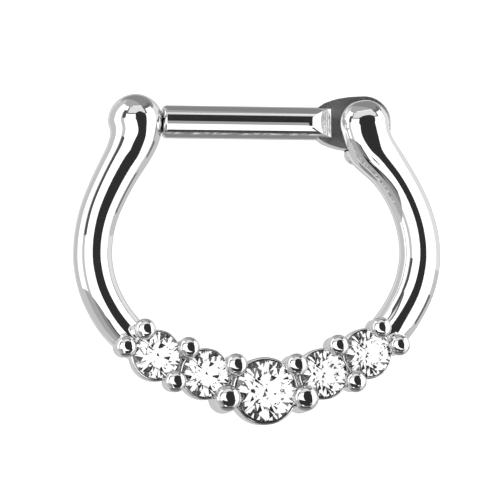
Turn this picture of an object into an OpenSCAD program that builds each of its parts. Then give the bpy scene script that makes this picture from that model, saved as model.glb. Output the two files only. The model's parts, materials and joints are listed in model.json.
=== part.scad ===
// Hinged septum ring with a row of five round stones, lying on its back.
// X runs to the right, Y from the stones to the bar, Z up through the ring.
// The origin is on the surface it lies on, under the middle of the ring.

/* [Ring] */
// Reach of each leg's middle line from the middle of the ring
reach = 5.97; // [5.6:0.01:6.4]
// Height of the bar's axis above the middle
head_y = 4.95; // [4.7:0.01:5.3]
// Height of the legs' widest level above the middle
belly_y = 0.16; // [-0.2:0.01:0.4]
// Depth of the centre stone below the middle
row_drop = 4.75; // [4.6:0.01:5.0]
// Shift of the row of stones to the right
row_x = 0.09; // [0:0.01:0.2]
// Wire diameter of the left leg
left_wire_d = 1.4; // [1.2:0.02:1.5]
// Wire diameter of the right leg
right_wire_d = 1.46; // [1.2:0.02:1.56]

/* [Heads] */
// Diameter of the ball head that takes the bar's tip
ball_d = 2; // [1.9:0.02:2.2]
// Place of the ball head, left of the middle
ball_x = 4.41; // [4.2:0.01:4.6]
// Diameter of the knob that holds the hinge
knob_d = 1.84; // [1.76:0.02:2]
// Place of the hinge, right of the middle
hinge_x = 3.91; // [3.7:0.01:4.1]
// Radius of the rounded heel under the hinge
heel_r = 0.4; // [0.36:0.01:0.46]
// Depth of the latch notch that is left in the ball, from its middle
notch_x = 0.25; // [0.1:0.01:0.4]
// Distance from the ball's middle to the flat that faces the bar
ball_flat = 0.93; // [0.86:0.01:0.94]

/* [Bar] */
// Diameter of the bar that is worn
bar_d = 1.2; // [1:0.02:1.26]
// Length of the chamfer at the bar's tip
tip_chamfer = 0.3; // [0.2:0.01:0.5]
// Radius that the chamfer takes off
tip_step = 0.13; // [0.08:0.01:0.18]
// Reach of the half-round tongue into the notch
tongue_l = 0.6; // [0.4:0.01:0.62]
// Radius that the tongue loses from the tip's
tongue_step = 0.06; // [0.05:0.01:0.1]
// Thickness of the flat tab
tab_t = 0.6; // [0.5:0.02:0.7]
// Radius of the tab's round end
tab_r = 1; // [0.94:0.01:1.04]
// Distance from the hinge to where the bar starts to widen
flare_l = 1.66; // [1.5:0.01:1.9]
// Distance from the hinge to where the flat starts to run out
runout_l = 2.08; // [1.95:0.01:2.4]
// Distance from the hinge to where the flat has its full depth
flat_l = 1.24; // [1.1:0.01:1.4]
// Diameter of the hinge pin
pin_d = 0.7; // [0.5:0.02:0.8]

/* [Stones] */
// Diameter of the centre stone
centre_d = 2.17; // [2:0.01:2.3]
// Diameter of each side stone
side_d = 1.66; // [1.5:0.01:1.75]
// Height of the centre stone's girdle
centre_z = 2.1; // [2:0.01:2.3]
// Height of the side stones' girdles
side_z = 2; // [1.9:0.01:2.2]
// Gap between the centre stone and the stones beside it
inner_gap = 0.3; // [0.2:0.01:0.4]
// Gap between the two stones on the left
left_gap = 0.2; // [0.08:0.01:0.3]
// Gap between the two stones on the right
right_gap = 0.09; // [0.08:0.01:0.3]
// Height of the girdle band
girdle_t = 0.05; // [0.03:0.01:0.08]

/* [Setting] */
// Wall of the centre stone's cup, outside the stone
centre_wall = 0.125; // [0.1:0.005:0.2]
// Wall of each side cup, outside the stone
side_wall = 0.09; // [0.08:0.005:0.15]
// Height of the girdles above the cups' rims
rim_drop = 0.05; // [0.03:0.01:0.1]
// Height above the girdle of the prong balls' middles
ball_lift = 0.12; // [0.05:0.01:0.2]
// How far a prong's ball reaches over a stone's edge
grip = 0.1; // [0.06:0.01:0.15]
// Diameter of the rail that joins the cups
rail_d = 1.24; // [1:0.02:1.4]

/* [Clearances] */
// Gap between a stone and its seat
stone_gap = 0.03; // [0.02:0.005:0.05]
// Gap on each side of the tab, and round the bar's tip
run_gap = 0.05; // [0.03:0.005:0.08]
// Gap on the radius between the pin and the tab's hole
pin_gap = 0.02; // [0.01:0.005:0.04]
// Gap on the radius between the pin and the knob
rivet_gap = 0.01; // [0.01:0.005:0.02]

/* [Hidden] */
// How the swept wire and the round shapes are divided
sides = 20;
spans = 2;
round_fn = 64;
// A length past any face that it cuts
past = 3;

mid_z = ball_d / 2;
ball_r = ball_d / 2;
knob_r = knob_d / 2;
bar_r = bar_d / 2;
tip_r = bar_r - tip_step;
tongue_r = tip_r - tongue_step;
pin_r = pin_d / 2;
ball_at = [-ball_x, head_y];
hinge_at = [hinge_x, head_y];
slot_half = tab_t / 2 + run_gap;
// Place of the heel's middle, from the hinge, the tab's edge and the middle height
heel_in = 0.27;
heel_drop = 0.06;
heel_back = 0.25;
// The round bar ends this share of the flare's length past its start, and a square core
// of this share of its width goes on to the full depth of the flats
rod_lap = 0.1;
core_share = 0.7;
// The pin stops this far under the knob's dome, in front and behind
pin_cover = 0.16;
pin_back = 0.02;

// How steeply the row climbs on each side, in degrees
inner_slope = 16;
left_slope = 20.6;
right_slope = 24.5;
// Proportions of a round brilliant, as shares of its radius
table_share = 0.56;
crown_tan = 0.6745;
star_share = 0.8;
pavilion_tan = 0.8693;
lower_share = 0.22;
hole_share = 0.6;
// Width of a cup at the floor, and of a prong's foot, as shares of the full width
cup_foot = 0.78;
prong_foot = 0.55;
// Height of a prong's foot
foot_z = 0.3;

// Places of the stones, from the centre of the row outwards
function out(side, slope) = [side * cos(slope), sin(slope)];
centre_at = [row_x, -row_drop];
inner_step = (centre_d + side_d) / 2 + inner_gap;
function inner_at(side) = centre_at + inner_step * out(side, inner_slope);
function outer_gap(side) = side < 0 ? left_gap : right_gap;
function outer_slope(side) = side < 0 ? left_slope : right_slope;
function outer_at(side) = inner_at(side)
    + (side_d + outer_gap(side)) * out(side, outer_slope(side));

// One leg from its head down to the widest level. Each row has the share of the way out
// from the head to the reach, the share of the head's height, and the share of the
// swell from the wire's radius to the head's.
LEFT_UPPER = [
    [0.03, 0.87, 0.62],
    [0.13, 0.79, 0.44],
    [0.25, 0.715, 0.28],
    [0.44, 0.605, 0.17],
    [0.67, 0.455, 0.09],
    [0.86, 0.3, 0.03],
    [0.97, 0.14, 0]];
RIGHT_UPPER = [
    [0.07, 0.87, 0.82],
    [0.17, 0.79, 0.7],
    [0.33, 0.715, 0.36],
    [0.53, 0.61, 0.02],
    [0.745, 0.455, -0.09],
    [0.9, 0.29, -0.02],
    [0.98, 0.14, 0.05]];
// The same leg from its widest level down to the end stone. Each row has the share of
// the way in to the stone, the share of the way down, and the swell as above.
LEFT_LOWER = [
    [0.02, 0.15, 0.02],
    [0.1, 0.35, 0.02],
    [0.27, 0.56, 0.02],
    [0.5, 0.745, 0]];
RIGHT_LOWER = [
    [0.03, 0.15, 0.14],
    [0.12, 0.35, 0.12],
    [0.3, 0.56, 0.06],
    [0.52, 0.745, 0]];

// The right leg swells by this share of the same step at its widest level
right_belly_share = 0.1;

function upper_rows(side, rows, head, head_r, wire_r) = [for (r = rows) [
    head.x + (side * reach - head.x) * r[0],
    belly_y + (head.y - belly_y) * r[1],
    wire_r + (head_r - wire_r) * r[2]]];
function lower_rows(side, rows, head_r, wire_r) = [for (r = rows) [
    side * reach + (outer_at(side).x - side * reach) * r[0],
    belly_y + (outer_at(side).y - belly_y) * r[1],
    wire_r + (head_r - wire_r) * r[2]]];
// The rows that lie on a head's own sphere, at these angles from its middle
function dome(head, head_r, lean, angles) = [for (a = angles) [
    head.x + head_r * sin(a) * lean.x,
    head.y + head_r * sin(a) * lean.y,
    head_r * cos(a)]];
DOME_TOP = [78, 64, 50, 36, 24, 12];
DOME_FOOT = [0, -14];
left_lean = [0.08, 1] / norm([0.08, 1]);
right_lean = [-0.2, 1] / norm([-0.2, 1]);
// A ring of the swept wire faces along the course between this many rings on each side
turn = 3;

function reversed(rows) = [for (k = [len(rows) - 1:-1:0]) rows[k]];
leg_left = concat(
    dome(ball_at, ball_r, left_lean, DOME_FOOT),
    upper_rows(-1, LEFT_UPPER, ball_at, ball_r, left_wire_d / 2),
    [[-reach, belly_y, left_wire_d / 2]],
    lower_rows(-1, LEFT_LOWER, ball_r, left_wire_d / 2));
leg_right = concat(
    dome(hinge_at, knob_r, right_lean, DOME_FOOT),
    upper_rows(1, RIGHT_UPPER, hinge_at, knob_r, right_wire_d / 2),
    [[reach, belly_y, right_wire_d / 2 + (knob_r - right_wire_d / 2) * right_belly_share]],
    lower_rows(1, RIGHT_LOWER, knob_r, right_wire_d / 2));
function with_radius(p, r) = [p.x, p.y, r];
rail = [for (p = [outer_at(-1), inner_at(-1), centre_at, inner_at(1), outer_at(1)])
    with_radius(p, rail_d / 2)];
course = concat(leg_left, rail, reversed(leg_right));

// A smooth curve through all rows of the course
function smooth(a, b, c, d, t) = 0.5 * (2 * b + (c - a) * t
    + (2 * a - 5 * b + 4 * c - d) * t * t + (3 * b - a - 3 * c + d) * t * t * t);
function row(rows, k) = rows[max(0, min(len(rows) - 1, k))];
curve = [for (k = [0:len(course) - 2], j = [0:spans - 1])
    smooth(row(course, k - 1), course[k], course[k + 1], row(course, k + 2), j / spans)];
stations = concat(
    dome(ball_at, ball_r, left_lean, DOME_TOP),
    curve,
    [course[len(course) - 1]],
    reversed(dome(hinge_at, knob_r, right_lean, DOME_TOP)));

// One closed solid round the stations, with a point at each end
module swept_wire(rows, end_a, end_b) {
    last = len(rows) - 1;
    ways = [for (k = [0:last]) let (d = row(rows, k + turn) - row(rows, k - turn))
        [d.x, d.y] / norm([d.x, d.y])];
    rings = [for (k = [0:last], j = [0:sides - 1]) let (a = 360 * j / sides) [
        rows[k].x - ways[k].y * rows[k][2] * cos(a),
        rows[k].y + ways[k].x * rows[k][2] * cos(a),
        mid_z + rows[k][2] * sin(a)]];
    skin = [for (k = [0:last - 1], j = [0:sides - 1]) let (
        a = k * sides + j,
        b = k * sides + (j + 1) % sides)
        each [[a, b + sides, b], [a, a + sides, b + sides]]];
    first_cap = [for (j = [0:sides - 1]) [len(rings), j, (j + 1) % sides]];
    last_cap = [for (j = [0:sides - 1])
        [len(rings) + 1, last * sides + (j + 1) % sides, last * sides + j]];
    polyhedron(
        points = concat(rings, [[end_a.x, end_a.y, mid_z], [end_b.x, end_b.y, mid_z]]),
        faces = concat(skin, first_cap, last_cap));
}

// Height of the crown and of the pavilion, as shares of the stone's radius
crown_share = (1 - table_share) * crown_tan;
star_rise = (1 - star_share * cos(22.5)) * crown_tan;
lower_fall = (1 - lower_share * cos(22.5)) * pavilion_tan;

// A round brilliant: table, stars, kites, girdle band and pavilion, at a place
module brilliant(at, z, d) {
    r = d / 2;
    corner = [for (k = [0:7]) 45 * k];
    between = [for (k = [0:7]) 45 * k + 22.5];
    function spot(share, a, h) = [at.x + r * share * cos(a), at.y + r * share * sin(a), z + h];
    points = concat(
        [for (a = corner) spot(table_share, a, r * crown_share)],
        [for (a = between) spot(star_share, a, r * star_rise)],
        [for (k = [0:15]) spot(1, 22.5 * k, 0)],
        [for (k = [0:15]) spot(1, 22.5 * k, -girdle_t)],
        [for (a = between) spot(lower_share, a, -girdle_t - r * lower_fall)],
        [spot(0, 0, -girdle_t - r * pavilion_tan)]);
    star = 8;
    top = 16;
    under = 32;
    low = 48;
    culet = 56;
    faces = concat(
        [[for (k = [7:-1:0]) k]],
        [for (k = [0:7]) [k, (k + 1) % 8, star + k]],
        [for (k = [0:7]) [k, star + k, top + 2 * k, star + (k + 7) % 8]],
        [for (k = [0:7]) [star + k, top + 2 * k + 1, top + 2 * k]],
        [for (k = [0:7]) [star + k, top + (2 * k + 2) % 16, top + 2 * k + 1]],
        [for (k = [0:15]) [top + k, top + (k + 1) % 16, under + (k + 1) % 16, under + k]],
        [for (k = [0:7]) [under + 2 * k, under + 2 * k + 1, low + k]],
        [for (k = [0:7]) [under + 2 * k + 1, under + (2 * k + 2) % 16, low + k]],
        [for (k = [0:7]) [under + 2 * k, low + k, culet, low + (k + 7) % 8]]);
    polyhedron(points = points, faces = faces);
}

// What a stone and its open back take out of the metal
module seat(at, z, d) {
    r = d / 2 + stone_gap;
    hole = r * hole_share;
    base = -girdle_t - stone_gap;
    translate([at.x, at.y, z]) rotate_extrude($fn = round_fn) polygon([
        [0, -z - past],
        [hole, -z - past],
        [hole, base - (r - hole) * lower_fall / (1 - lower_share)],
        [r, base],
        [r, stone_gap],
        [r * star_share + stone_gap, d / 2 * star_rise + stone_gap],
        [r * table_share + stone_gap, d / 2 * crown_share + stone_gap],
        [0, d / 2 * crown_share + stone_gap]]);
}

module cup(at, z, d, wall) {
    r = d / 2 + wall;
    rim = z - girdle_t - rim_drop;
    translate([at.x, at.y, 0]) rotate_extrude($fn = round_fn) polygon([
        [0, 0],
        [r * cup_foot, 0],
        [r, mid_z],
        [r, rim],
        [0, rim]]);
}

module prong(at, z, r, stem) {
    translate([at.x, at.y, 0]) rotate_extrude($fn = round_fn) polygon([
        [0, foot_z],
        [stem * prong_foot, foot_z],
        [stem, mid_z],
        [stem, z + ball_lift],
        [0, z + ball_lift]]);
    translate([at.x, at.y, z + ball_lift]) sphere(r = r, $fn = round_fn);
}

// Prongs in the gap beside a stone. Each row has the side of the row of stones, the
// place along the gap, the ball's radius, what it reaches over the stone besides the
// grip, and the stem's radius, the last four as shares of the side stone's radius.
OUTER_PRONGS = [[1, 0.02, 0.475, 0, 0.43], [-1, -0.02, 0.48, 0, 0.43]];
INNER_PRONGS = [[1, -0.075, 0.495, 0, 0.45], [-1, -0.04, 0.575, 0.048, 0.64]];
// Prongs past the end stone: along, across, the ball's radius and the stem's, as the
// same shares
END_PRONGS = [[1.1, 0.53, 0.465, 0.42], [1.28, -0.56, 0.465, 0.42]];
end_slope = 38.5;

module gap_prongs(rows, from, way, gap, side, z) {
    up = [-way.y, way.x] * side;
    for (p = rows) {
        ball = p[2] * side_d / 2;
        along = side_d / 2 + gap / 2;
        reach_over = side_d / 2 + ball - grip - p[3] * side_d / 2;
        across = sqrt(max(0.01, reach_over * reach_over - along * along));
        prong(from - way * (gap / 2 + side_d / 2 + p[1] * side_d / 2)
            + up * p[0] * across, z, ball, p[4] * side_d / 2);
    }
}

module setting() {
    cup(centre_at, centre_z, centre_d, centre_wall);
    for (side = [-1, 1]) {
        cup(inner_at(side), side_z, side_d, side_wall);
        cup(outer_at(side), side_z, side_d, side_wall);
        gap_prongs(INNER_PRONGS, inner_at(side), out(side, inner_slope), inner_gap,
            side, centre_z);
        gap_prongs(OUTER_PRONGS, outer_at(side), out(side, outer_slope(side)),
            outer_gap(side), side, side_z);
        way = out(side, end_slope);
        up = [-way.y, way.x] * side;
        for (p = END_PRONGS)
            prong(outer_at(side) + (way * p[0] + up * p[1]) * side_d / 2, side_z,
                p[2] * side_d / 2, p[3] * side_d / 2);
    }
}

// Outline of the widening end of the bar, as shares of the flare's length and of the
// step from the bar's radius to the tab's
FLARE = [[1, 0], [0.9, 0.3], [0.72, 0.58], [0.57, 0.75], [0.36, 0.9], [0.18, 0.96], [0, 0.97]];
module tab(t, grow) {
    edge = [for (p = FLARE) [-flare_l * p[0], bar_r + (tab_r - bar_r) * p[1] + grow]];
    translate([0, 0, mid_z - t / 2]) {
        cylinder(r = tab_r + grow, h = t, $fn = round_fn);
        linear_extrude(t) polygon(concat(edge, [for (p = reversed(edge)) [p.x, -p.y]]));
    }
}

// The back ear ends in a rounded heel, under the tab's lower edge
module heel() {
    translate([hinge_x - heel_in, head_y - tab_r - heel_drop, mid_z - heel_back])
        sphere(r = heel_r, $fn = round_fn);
}

module ring_frame() {
    color("silver") difference() {
        union() {
            swept_wire(stations, ball_at + left_lean * ball_r, hinge_at + right_lean * knob_r);
            heel();
            setting();
        }
        seat(centre_at, centre_z, centre_d);
        for (side = [-1, 1]) {
            seat(inner_at(side), side_z, side_d);
            seat(outer_at(side), side_z, side_d);
        }
        // Notch behind the ball's front half, open above, inside and behind
        translate([-ball_x + notch_x, head_y - tongue_r - run_gap, mid_z - past])
            cube([past, past, past]);
        // Flat that faces the bar's end
        translate([-ball_x + ball_flat, head_y - ball_r / 2, mid_z - past / 2])
            cube([past / 2, ball_r, past]);
        // Slot for the tab
        translate([hinge_x, head_y, 0]) tab(2 * slot_half, run_gap);
        // Blind hole for the pin, from the back
        translate([hinge_x, head_y, -past])
            cylinder(r = pin_r + rivet_gap, h = past + mid_z + knob_r - pin_cover + run_gap,
                $fn = round_fn);
    }
}

// The half-round tongue, the chamfered tip and the worn bar, up to the flare
module bar_rod() {
    shoulder = ball_flat + run_gap;
    length = hinge_x + ball_x;
    flare_lap = flare_l * rod_lap;
    translate([-ball_x, head_y, mid_z]) rotate([0, 90, 0]) {
        translate([0, 0, shoulder]) {
            cylinder(r1 = tip_r, r2 = bar_r, h = tip_chamfer, $fn = round_fn);
            translate([0, 0, tip_chamfer])
                cylinder(r = bar_r, h = length - shoulder - tip_chamfer - flare_l + flare_lap,
                    $fn = round_fn);
        }
    }
    difference() {
        translate([-ball_x + shoulder - tongue_l, head_y, mid_z]) rotate([0, 90, 0])
            cylinder(r = tongue_r, h = tongue_l + tip_chamfer / 2, $fn = round_fn);
        translate([-ball_x - past, head_y - past / 2, mid_z - run_gap])
            cube([past + shoulder, past, past]);
    }
}

// A wedge that mills the bar down to the tab's thickness, on one face
module mill(face) {
    depth = bar_r - tab_t / 2;
    translate([hinge_x, head_y + past / 2, mid_z]) rotate([90, 0, 0])
        linear_extrude(past) polygon([
            [-runout_l, face * bar_r],
            [-flat_l, face * (bar_r - depth)],
            [past, face * (bar_r - depth)],
            [past, face * past],
            [-runout_l, face * past]]);
}

// The core between the round bar and the tab
module core() {
    side = bar_d * core_share;
    translate([hinge_x - flare_l, head_y - side / 2, mid_z - side / 2])
        cube([flare_l - flat_l, side, side]);
}

module hinge_bar() {
    color("gainsboro") difference() {
        union() {
            difference() {
                union() {
                    bar_rod();
                    core();
                }
                mill(1);
                mill(-1);
            }
            translate([hinge_x, head_y, 0]) tab(tab_t, 0);
        }
        translate([hinge_x, head_y, mid_z - past / 2])
            cylinder(r = pin_r + pin_gap, h = past, $fn = round_fn);
    }
}

module hinge_pin() {
    low = mid_z - knob_r + pin_back;
    color("lightgray") translate([hinge_x, head_y, low])
        cylinder(r = pin_r, h = mid_z + knob_r - pin_cover - low, $fn = round_fn);
}

module stone(at, z, d) {
    color("white") brilliant(at, z, d);
}

ring_frame();
hinge_bar();
hinge_pin();
stone(centre_at, centre_z, centre_d);  // centre_stone
stone(inner_at(-1), side_z, side_d);  // stone_left_inner
stone(outer_at(-1), side_z, side_d);  // stone_left_outer
stone(inner_at(1), side_z, side_d);  // stone_right_inner
stone(outer_at(1), side_z, side_d);  // stone_right_outer
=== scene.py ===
"""Looks of a hinged septum ring: a polished frame, a steel bar on a hinge and five cut stones.

The sizes are in millimetres, and every finished piece is brought to metres and to its
place in the fixed frame, lying on its back with the stones up.
"""
from __future__ import annotations

import json
import logging
import math
from contextlib import contextmanager
from dataclasses import dataclass
from enum import Enum
from typing import Callable, Iterator, NamedTuple, Sequence

import bpy
from mathutils import Euler, Matrix, Vector

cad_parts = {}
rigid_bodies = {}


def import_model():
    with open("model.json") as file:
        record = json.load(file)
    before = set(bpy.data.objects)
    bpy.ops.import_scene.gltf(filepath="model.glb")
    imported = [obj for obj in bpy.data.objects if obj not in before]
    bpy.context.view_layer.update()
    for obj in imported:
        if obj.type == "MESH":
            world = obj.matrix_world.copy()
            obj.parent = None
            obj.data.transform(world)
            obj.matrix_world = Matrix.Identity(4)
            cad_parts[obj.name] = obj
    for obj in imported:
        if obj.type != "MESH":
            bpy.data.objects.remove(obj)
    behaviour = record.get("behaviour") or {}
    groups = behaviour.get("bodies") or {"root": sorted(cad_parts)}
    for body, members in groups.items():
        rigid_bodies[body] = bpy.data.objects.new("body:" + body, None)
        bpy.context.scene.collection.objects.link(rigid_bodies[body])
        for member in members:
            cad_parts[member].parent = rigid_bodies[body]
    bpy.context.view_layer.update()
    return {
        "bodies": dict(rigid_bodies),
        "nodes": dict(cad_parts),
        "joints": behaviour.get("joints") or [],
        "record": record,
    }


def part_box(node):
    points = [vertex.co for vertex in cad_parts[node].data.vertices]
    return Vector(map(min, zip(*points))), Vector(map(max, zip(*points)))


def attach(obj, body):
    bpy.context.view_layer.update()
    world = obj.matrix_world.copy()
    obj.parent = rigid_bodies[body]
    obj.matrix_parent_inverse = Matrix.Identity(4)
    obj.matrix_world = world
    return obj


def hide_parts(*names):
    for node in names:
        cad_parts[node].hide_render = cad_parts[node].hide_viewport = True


LOG = logging.getLogger("septum_ring")
MM = 0.001
FULL_TURN = 2 * math.pi
# Half of the angle between two of a stone's main facets
HALF_FACET = math.pi / 8
# Sides of a turned round
ROUND_SIDES = 64
# How far a cutter reaches past the metal
BEYOND = 3.0
# A point that is nearer to the axis than this lies on it
ON_AXIS = 1e-6
# Spacing of the Wave texture's bands at a scale of 1
WAVE_SPACING = 0.314
# Weights of four sections in a row for one half way between the inner two
HALF_WAY = (-1 / 16, 9 / 16, 9 / 16, -1 / 16)


class Station(NamedTuple):
    """One section of the wire: the place of its middle and its radius."""

    x: float
    y: float
    radius: float


class LegRow(NamedTuple):
    """One level of a leg, as shares of the way out, the height and the swell."""

    out: float
    level: float
    swell: float


class ProfilePoint(NamedTuple):
    """A point of a turned profile: the distance from the axis and the height."""

    radius: float
    height: float


class ProngRow(NamedTuple):
    """A prong's place and sizes, as shares of the side stone's radius."""

    along: float
    across: float
    ball: float
    stem: float


class Cut(Enum):
    """What a boolean does with its tool."""

    JOIN = "UNION"
    REMOVE = "DIFFERENCE"


class Tone(Enum):
    """Brightness of a card that the polished faces mirror."""

    BLACK = 0.03
    CHARCOAL = 0.08
    SLATE = 0.16
    STEEL = 0.27
    GREY = 0.42
    PALE = 0.6
    LIGHT = 0.82
    WHITE = 1.4


class Seen(Enum):
    """What sees a card."""

    BY_METAL = "metal"
    BY_STONES = "stones"
    BY_ALL = "all"


class Bench:
    """The maker's bench: short calls round the modelling operators."""

    @staticmethod
    def clear_selection() -> None:
        """Deselects every object."""
        bpy.ops.object.select_all(action="DESELECT")

    @staticmethod
    def pick(piece: bpy.types.Object) -> None:
        """Makes one piece the only selected and the active one."""
        Bench.clear_selection()
        piece.select_set(True)
        bpy.context.view_layer.objects.active = piece

    @staticmethod
    def start(name: str, primitive: Callable[..., object], **settings: object
              ) -> bpy.types.Object:
        """Adds a primitive that a piece is shaped from.

        Args:
            name: The piece's name.
            primitive: The operator that adds it.
            settings: The operator's settings.

        Returns:
            The new piece.
        """
        Bench.clear_selection()
        primitive(**settings)
        piece = bpy.context.object
        piece.name = name
        return piece

    @staticmethod
    @contextmanager
    def editing(piece: bpy.types.Object) -> Iterator[None]:
        """Opens a piece in edit mode, and closes it again after the block."""
        Bench.pick(piece)
        bpy.ops.object.mode_set(mode="EDIT")
        yield
        bpy.ops.object.mode_set(mode="OBJECT")

    @staticmethod
    def release(piece: bpy.types.Object) -> None:
        """Deselects all points, edges and faces of a piece."""
        with Bench.editing(piece):
            bpy.ops.mesh.select_all(action="DESELECT")

    @staticmethod
    def pull(x: float, y: float, z: float) -> None:
        """Extrudes what is selected in edit mode by a step."""
        bpy.ops.mesh.extrude_region_move(TRANSFORM_OT_translate={"value": (x, y, z)})

    @staticmethod
    def stretch(x: float, y: float, z: float, middle: Sequence[float]) -> None:
        """Scales what is selected in edit mode about a point."""
        bpy.ops.transform.resize(value=(x, y, z), center_override=middle)

    @staticmethod
    def modify(piece: bpy.types.Object, kind: str, **settings: object) -> None:
        """Gives a piece a modifier and applies it.

        Args:
            piece: The piece.
            kind: The modifier's type.
            settings: The modifier's settings.
        """
        modifier = piece.modifiers.new(kind.lower(), kind)
        for key, value in settings.items():
            setattr(modifier, key, value)
        Bench.pick(piece)
        bpy.ops.object.modifier_apply(modifier=modifier.name)

    @staticmethod
    def cut(piece: bpy.types.Object, tool: bpy.types.Object, kind: Cut) -> None:
        """Joins a tool to a piece or takes it away, and deletes the tool.

        Args:
            piece: The piece that keeps the result.
            tool: The closed shape that is used up.
            kind: Whether the tool is joined or removed.
        """
        Bench.modify(piece, "BOOLEAN", operation=kind.value, solver="MANIFOLD", object=tool)
        bpy.data.objects.remove(tool)

    @staticmethod
    def outwards(piece: bpy.types.Object) -> None:
        """Turns all faces of a closed piece outwards."""
        with Bench.editing(piece):
            bpy.ops.mesh.select_all(action="SELECT")
            bpy.ops.mesh.normals_make_consistent(inside=False)

    @staticmethod
    def settle(piece: bpy.types.Object) -> None:
        """Brings a piece's place, turn and scale into its mesh."""
        Bench.pick(piece)
        bpy.ops.object.transform_apply(location=True, rotation=True, scale=True)

    @staticmethod
    def place(piece: bpy.types.Object, at: Sequence[float]) -> None:
        """Moves a piece that was made round the origin to its place."""
        piece.location = at
        Bench.settle(piece)

    @staticmethod
    def to_metres(piece: bpy.types.Object) -> None:
        """Scales a finished piece from millimetres to metres about the origin."""
        piece.scale = (MM, MM, MM)
        Bench.settle(piece)

    @staticmethod
    def turned(name: str, profile: Sequence[ProfilePoint], at: Sequence[float] = (0, 0, 0),
               sides: int = ROUND_SIDES) -> bpy.types.Object:
        """Turns a profile about an upright axis.

        Args:
            name: The piece's name.
            profile: Points from the bottom to the top. A last radius of 0 ends in a point.
            at: Place of the profile's origin.
            sides: How many sides the round has.

        Returns:
            The closed piece.
        """
        last = profile[0]
        piece = Bench.start(name, bpy.ops.mesh.primitive_circle_add, vertices=sides,
                            radius=last.radius, fill_type="NGON", location=(0, 0, last.height))
        Bench.settle(piece)
        with Bench.editing(piece):
            for point in profile[1:]:
                Bench.pull(0, 0, point.height - last.height)
                if point.radius == 0:
                    bpy.ops.mesh.merge(type="CENTER")
                    break
                share = point.radius / last.radius
                Bench.stretch(share, share, 1, (0, 0, point.height))
                last = point
        Bench.outwards(piece)
        Bench.place(piece, at)
        return piece

    @staticmethod
    def block(name: str, low: Vector, high: Vector) -> bpy.types.Object:
        """Makes a block.

        Args:
            name: The block's name.
            low: Its lowest corner.
            high: Its highest corner.

        Returns:
            The block.
        """
        piece = Bench.start(name, bpy.ops.mesh.primitive_cube_add, size=1,
                            location=(low + high) / 2)
        piece.scale = high - low
        Bench.settle(piece)
        return piece

    @staticmethod
    def smooth(piece: bpy.types.Object, angle: float) -> None:
        """Shades a piece smooth, with edges over an angle in degrees kept crisp."""
        Bench.pick(piece)
        bpy.ops.object.shade_smooth_by_angle(angle=math.radians(angle))


def signed_power(value: float, power: float) -> float:
    """A power of a number's size, with the number's sign."""
    return math.copysign(abs(value) ** power, value)


def arc(radius: float, height: float, start: float, end: float, steps: int,
        inset: float = 0.0) -> list[ProfilePoint]:
    """Points of a round in a turned profile.

    Args:
        radius: Radius of the round.
        height: Height of the round's middle.
        start: First angle above the horizontal, in degrees.
        end: Last angle, in degrees.
        steps: How many steps the round has.
        inset: Distance of the round's middle from the axis.

    Returns:
        The points, with the pole, if it is reached, exactly on the axis.
    """
    points = []
    for k in range(steps + 1):
        angle = math.radians(start + (end - start) * k / steps)
        reach = inset + radius * math.cos(angle)
        points.append(ProfilePoint(0 if abs(reach) < ON_AXIS else reach,
                                   height + radius * math.sin(angle)))
    return points


class Wire:
    """A shader socket whose operators add Math nodes."""

    def __init__(self, board: "Board", socket: bpy.types.NodeSocket) -> None:
        """Keeps the board and one output socket."""
        self.board = board
        self.socket = socket

    def _maths(self, operation: str, first: "Wire | float", second: "Wire | float") -> "Wire":
        """Adds one Math node on two values."""
        return self.board.node("ShaderNodeMath", {"operation": operation}, {0: first, 1: second})

    def __add__(self, other: "Wire | float") -> "Wire":
        """self + other"""
        return self._maths("ADD", self, other)

    __radd__ = __add__

    def __sub__(self, other: "Wire | float") -> "Wire":
        """self - other"""
        return self._maths("SUBTRACT", self, other)

    def __rsub__(self, other: "Wire | float") -> "Wire":
        """other - self"""
        return self._maths("SUBTRACT", other, self)

    def __mul__(self, other: "Wire | float") -> "Wire":
        """self * other"""
        return self._maths("MULTIPLY", self, other)

    __rmul__ = __mul__

    def above(self, limit: float) -> "Wire":
        """1 where self is over the limit, and 0 elsewhere"""
        return self._maths("GREATER_THAN", self, limit)


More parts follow.
